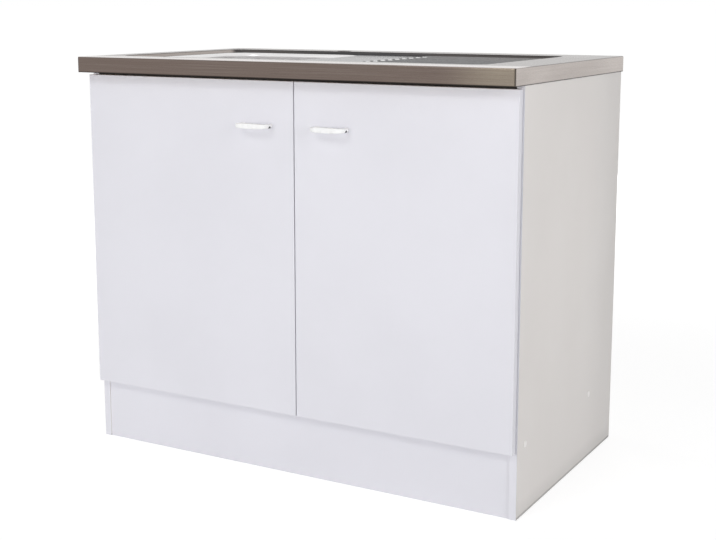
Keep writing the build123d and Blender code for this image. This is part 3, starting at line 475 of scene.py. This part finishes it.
def sheet_steel(name, low, high):
    """The brushed sink top, in painted reflections and painted shade: brown-grey aprons, bright
    borders and a darker recess, with dark lines of painted shade where the sheet is folded."""
    finish = Finish(name, roughness=0.3, metallic=1.0)
    lines = brushing(finish)
    sideways = finish.between(finish.facing(x_axis), *squarely)
    upwards = finish.between(finish.facing(z_axis), *upward_enough)
    tone = finish.blend(upwards, apron_painted_light(finish, high, sideways), top_painted_light(finish, low, high))
    streak = finish.math("MULTIPLY", finish.between(lines, low=0.4, high=0.75), streak_share)
    tone = finish.blend(streak, tone, steel_streak)
    broad = finish.noise(scale=3.5, stretch=(1.0, 1.0, 5.0), detail=4.0)
    shaded = finish.math("MULTIPLY", finish.between(broad, *noise_core), broad_shade_share)
    tone = finish.blend(shaded, tone, darker(steel_front_painted_reflection, 0.9))
    # Painted shade along the folds of the sheet.
    finish.colour(finish.blend(fold_shade_lines(finish, high, sideways, upwards), tone, steel_fold_shade))
    finish.rough(lines, noise_wide, low=0.2, high=0.34)
    finish.relief(lines, depth=0.00003, strength=0.3)
    return finish.material


# ---------------------------------------------------------------- other metals and plastics
def bowl_steel(name):
    """The drawn bowl: satin steel with fine marks left by the press and the polish."""
    finish = Finish(name, roughness=0.26, metallic=1.0)
    haze = finish.between(finish.noise(scale=7.0, stretch=(1.0, 1.0, 0.5)), *noise_wide)
    finish.colour(finish.blend(haze, steel_bowl, darker(steel_bowl, 0.93)))
    fine = finish.noise(scale=1.0, stretch=(300.0, 300.0, 900.0), detail=3.0)
    finish.rough(fine, noise_wide, low=0.27, high=0.35)
    finish.relief(fine, depth=0.00001, strength=0.12)
    return finish.material


def plain_metal(name, tone, roughness):
    """Plated or polished metal with fine scratches and a little unevenness."""
    finish = Finish(name, roughness, metallic=1.0)
    cloud = finish.between(finish.noise(scale=60.0, detail=4.0), *noise_core)
    finish.colour(finish.blend(cloud, tone, darker(tone, 0.85)))
    scratches = finish.noise(scale=260.0, stretch=(1.0, 6.0, 1.0), detail=4.0)
    finish.rough(scratches, noise_wide, low=roughness * 0.8, high=roughness * 1.3)
    finish.relief(scratches, depth=0.00002, strength=0.3)
    return finish.material


def plastic_tone(finish, tone):
    """A plastic's colour with faint clouds in it."""
    cloud = finish.between(finish.noise(scale=25.0, detail=3.0), *noise_core)
    return finish.blend(cloud, tone, darker(tone, 0.965))


def moulded_skin(finish, low, high):
    """The gloss and the fine skin that a mould leaves, for a range of roughness."""
    finish.rough(finish.noise(scale=90.0), noise_wide, low, high)
    finish.relief(finish.noise(scale=300.0, detail=2.0), depth=0.00004, strength=0.18)


def moulded_plastic(name, tone, roughness):
    """Moulded plastic with a fine moulded skin."""
    finish = Finish(name, roughness)
    finish.colour(plastic_tone(finish, tone))
    moulded_skin(finish, low=roughness * 0.85, high=roughness * 1.2)
    return finish.material


def handle_plastic(name, low, high):
    """Gloss white moulding with a small spot of painted shade low on its right-hand end, where the
    leg's underside falls in shade.
    """
    finish = Finish(name, roughness=0.28)
    # Painted shade: a dark round spot near the lower right-hand end.
    from_right, from_back, from_bottom = shade_spot_from_corner
    middle = (high[x_axis] - from_right, high[y_axis] - from_back, low[z_axis] + from_bottom)
    reach = finish.add("ShaderNodeVectorMath", operation="DISTANCE")
    finish.put(reach.inputs[0], finish.place)
    reach.inputs[1].default_value = middle
    in_shade_spot = finish.between(reach.outputs[1], *shade_spot_radius, at_low=1.0, at_high=0.0)
    finish.colour(finish.blend(in_shade_spot, plastic_tone(finish, handle_white), handle_shade_dark))
    moulded_skin(finish, low=0.24, high=0.34)
    return finish.material


def rubber(name, tone, roughness):
    finish = Finish(name, roughness)
    cloud = finish.between(finish.noise(scale=80.0), *noise_wide)
    finish.colour(finish.blend(cloud, tone, darker(tone, 0.8)))
    finish.relief(finish.noise(scale=700.0), depth=0.00003, strength=0.3)
    return finish.material


# ---------------------------------------------------------------- which piece wears what
def own_material(node, slot, low, high):
    """The material that one piece wears alone, or None where it shares its slot's."""
    board_tones = {"white_board": carcass_white, "white_door": door_white}
    board_name = f"melamine_{node}"
    if node == "sink_top":
        return sheet_steel("brushed_stainless_steel", low, high)
    if node in ("left_handle", "right_handle"):
        return handle_plastic(f"gloss_white_{node}", low, high)
    if node == "screw_cover_caps":
        return moulded_plastic("cap_white_plastic", cap_white, roughness=0.35)
    if node == "plinth_board":
        return melamine(board_name, door_white, low, high)
    if node == "front_rail":
        # The front rail gets a band of painted shade a little below the doors' top.
        door_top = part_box("left_door")[1][z_axis]
        rail_shade_top = door_top - rail_shade_below_doors
        return melamine(board_name, carcass_white, low, high, shade_above=rail_shade_top)
    if node in ("left_side_panel", "right_side_panel"):
        return melamine(board_name, carcass_white, low, high, front_tone=door_white)
    if slot in board_tones:
        return melamine(board_name, board_tones[slot], low, high)
    return None


def dress_nodes():
    """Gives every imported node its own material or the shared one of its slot."""
    shared = {
        "back_board": fibreboard("white_faced_fibreboard"),
        "sink_steel": bowl_steel("satin_stainless_steel"),
        "raw_chipboard": raw_chipboard("bare_chipboard"),
        "beech": beech_wood("beech_wood"),
        "white_plastic": moulded_plastic("gloss_white_plastic", handle_white, roughness=0.28),
        "waste_plastic": moulded_plastic("matt_white_plastic", fitting_white, roughness=0.5),
        "clear_rubber": rubber("clear_soft_rubber", rubber_clear, roughness=0.35),
        "seal_rubber": rubber("black_seal_rubber", rubber_black, roughness=0.7),
        "zinc": plain_metal("zinc_plated_steel", zinc_tone, roughness=0.36),
        "nickel": plain_metal("nickel_plated_steel", nickel_tone, roughness=0.26),
        "polished_steel": plain_metal("polished_stainless_steel", polished_tone, roughness=0.16),
    }
    for part in frame["record"]["subparts"]:
        node = part["node"]
        slot = part["material_slot"]
        low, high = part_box(node)
        material = own_material(node, slot, low, high) or shared[slot]
        wear(frame["nodes"][node], material)


def wear(piece, material):
    """Puts one material in every slot of a piece."""
    slots = piece.data.materials
    if not slots:
        slots.append(material)
    for index in range(len(slots)):
        slots[index] = material


# ---------------------------------------------------------------- camera, floor and light
def make_camera():
    data = bpy.data.cameras.new("camera")
    data.sensor_width = sensor_width
    data.lens = focal_pixels / photo_width * sensor_width
    data.shift_y = frame_shift
    camera = bpy.data.objects.new("camera", data)
    camera.location = camera_place
    camera.rotation_euler = (math.pi / 2 - camera_down, 0.0, camera_turn)
    bpy.context.scene.collection.objects.link(camera)
    bpy.context.scene.camera = camera


def seen_directly(tree):
    """1 for camera, glossy and transmission rays, and 0 for the rays that light things."""
    paths = tree.nodes.new("ShaderNodeLightPath")
    share = paths.outputs["Is Camera Ray"]
    for name in ("Is Glossy Ray", "Is Transmission Ray"):
        both = tree.nodes.new("ShaderNodeMath")
        both.operation = "MAXIMUM"
        tree.links.new(share, both.inputs[0])
        tree.links.new(paths.outputs[name], both.inputs[1])
        share = both.outputs[0]
    return share


def make_world():
    """A white background that gives off only a little light."""
    world = bpy.data.worlds.new("studio")
    world.use_nodes = True
    bpy.context.scene.world = world
    tree = world.node_tree
    background = tree.nodes["Background"]
    background.inputs["Color"].default_value = (*white, 1.0)
    strength = tree.nodes.new("ShaderNodeMapRange")
    strength.inputs["To Min"].default_value = sky_light
    strength.inputs["To Max"].default_value = 1.0
    tree.links.new(seen_directly(tree), strength.inputs["Value"])
    tree.links.new(strength.outputs[0], background.inputs["Strength"])


def floor_finish():
    """What is seen of the floor glows more with the distance and takes the object's shadow.
    For the rays that light things it is plain pale."""
    finish = Finish("pale_floor", roughness=0.9)
    finish.colour((*floor_pale, 1.0))
    shadowed = finish.add("ShaderNodeBsdfDiffuse")
    shadowed.inputs["Color"].default_value = (*darker(white, floor_shadow_share), 1.0)
    length = finish.add("ShaderNodeVectorMath", operation="LENGTH")
    finish.put(length.inputs[0], finish.place)
    light = finish.add("ShaderNodeEmission")
    glow = finish.between(length.outputs[1], *floor_glow_reach, *floor_glow)
    finish.put(light.inputs["Strength"], glow)
    seen = finish.add("ShaderNodeAddShader")
    finish.put(seen.inputs[0], shadowed.outputs[0])
    finish.put(seen.inputs[1], light.outputs[0])
    choose = finish.add("ShaderNodeMixShader")
    finish.put(choose.inputs[0], seen_directly(finish.tree))
    finish.put(choose.inputs[1], finish.shader.outputs[0])
    finish.put(choose.inputs[2], seen.outputs[0])
    finish.put(finish.tree.nodes["Material Output"].inputs["Surface"], choose.outputs[0])
    return finish.material


def make_floor():
    """A large round floor at Z = 0."""
    rim = []
    for side in range(floor_sides):
        turn = 2 * math.pi * side / floor_sides
        rim.append((floor_radius * math.cos(turn), floor_radius * math.sin(turn), 0.0))
    mesh = bpy.data.meshes.new("floor")
    mesh.from_pydata(rim, [], [tuple(range(floor_sides))])
    floor = bpy.data.objects.new("floor", mesh)
    bpy.context.scene.collection.objects.link(floor)
    mesh.materials.append(floor_finish())


def make_lamp(name, place, target, size, power, reflected=False):
    """A rectangular softbox that looks at the target. Only a reflected one shows in steel."""
    data = bpy.data.lights.new(name, "AREA")
    data.shape = "RECTANGLE"
    data.size, data.size_y = size
    data.energy = power
    lamp = bpy.data.objects.new(name, data)
    lamp.location = place
    look = Vector(target) - Vector(place)
    lamp.rotation_euler = look.to_track_quat("-Z", "Y").to_euler()
    lamp.visible_camera = False
    lamp.visible_glossy = reflected
    bpy.context.scene.collection.objects.link(lamp)


def make_lamps():
    make_lamp(
        "key_softbox",
        place=(-0.5, -2.9, 2.7),
        target=(0.0, -0.25, 0.5),
        size=(1.4, 0.8),
        power=20.0,
        reflected=True,
    )
    make_lamp(
        "front_fill",
        place=(-0.6, -4.8, 1.0),
        target=(0.0, 0.0, 0.45),
        size=(3.2, 1.2),
        power=75.0,
    )
    make_lamp(
        "right_softbox",
        place=(3.3, -1.2, 1.4),
        target=(0.4, 0.0, 0.45),
        size=(1.8, 1.8),
        power=44.0,
    )
    make_lamp(
        "left_softbox",
        place=(-3.8, 0.6, 1.4),
        target=(-0.4, 0.0, 0.45),
        size=(1.8, 1.8),
        power=47.0,
    )
    make_lamp(
        "rear_fill",
        place=(-0.8, 4.6, 1.0),
        target=(0.0, 0.3, 0.45),
        size=(2.4, 1.4),
        power=84.0,
    )


bpy.context.scene.view_settings.view_transform = "Standard"
make_camera()
make_world()
make_floor()
make_lamps()
dress_nodes()
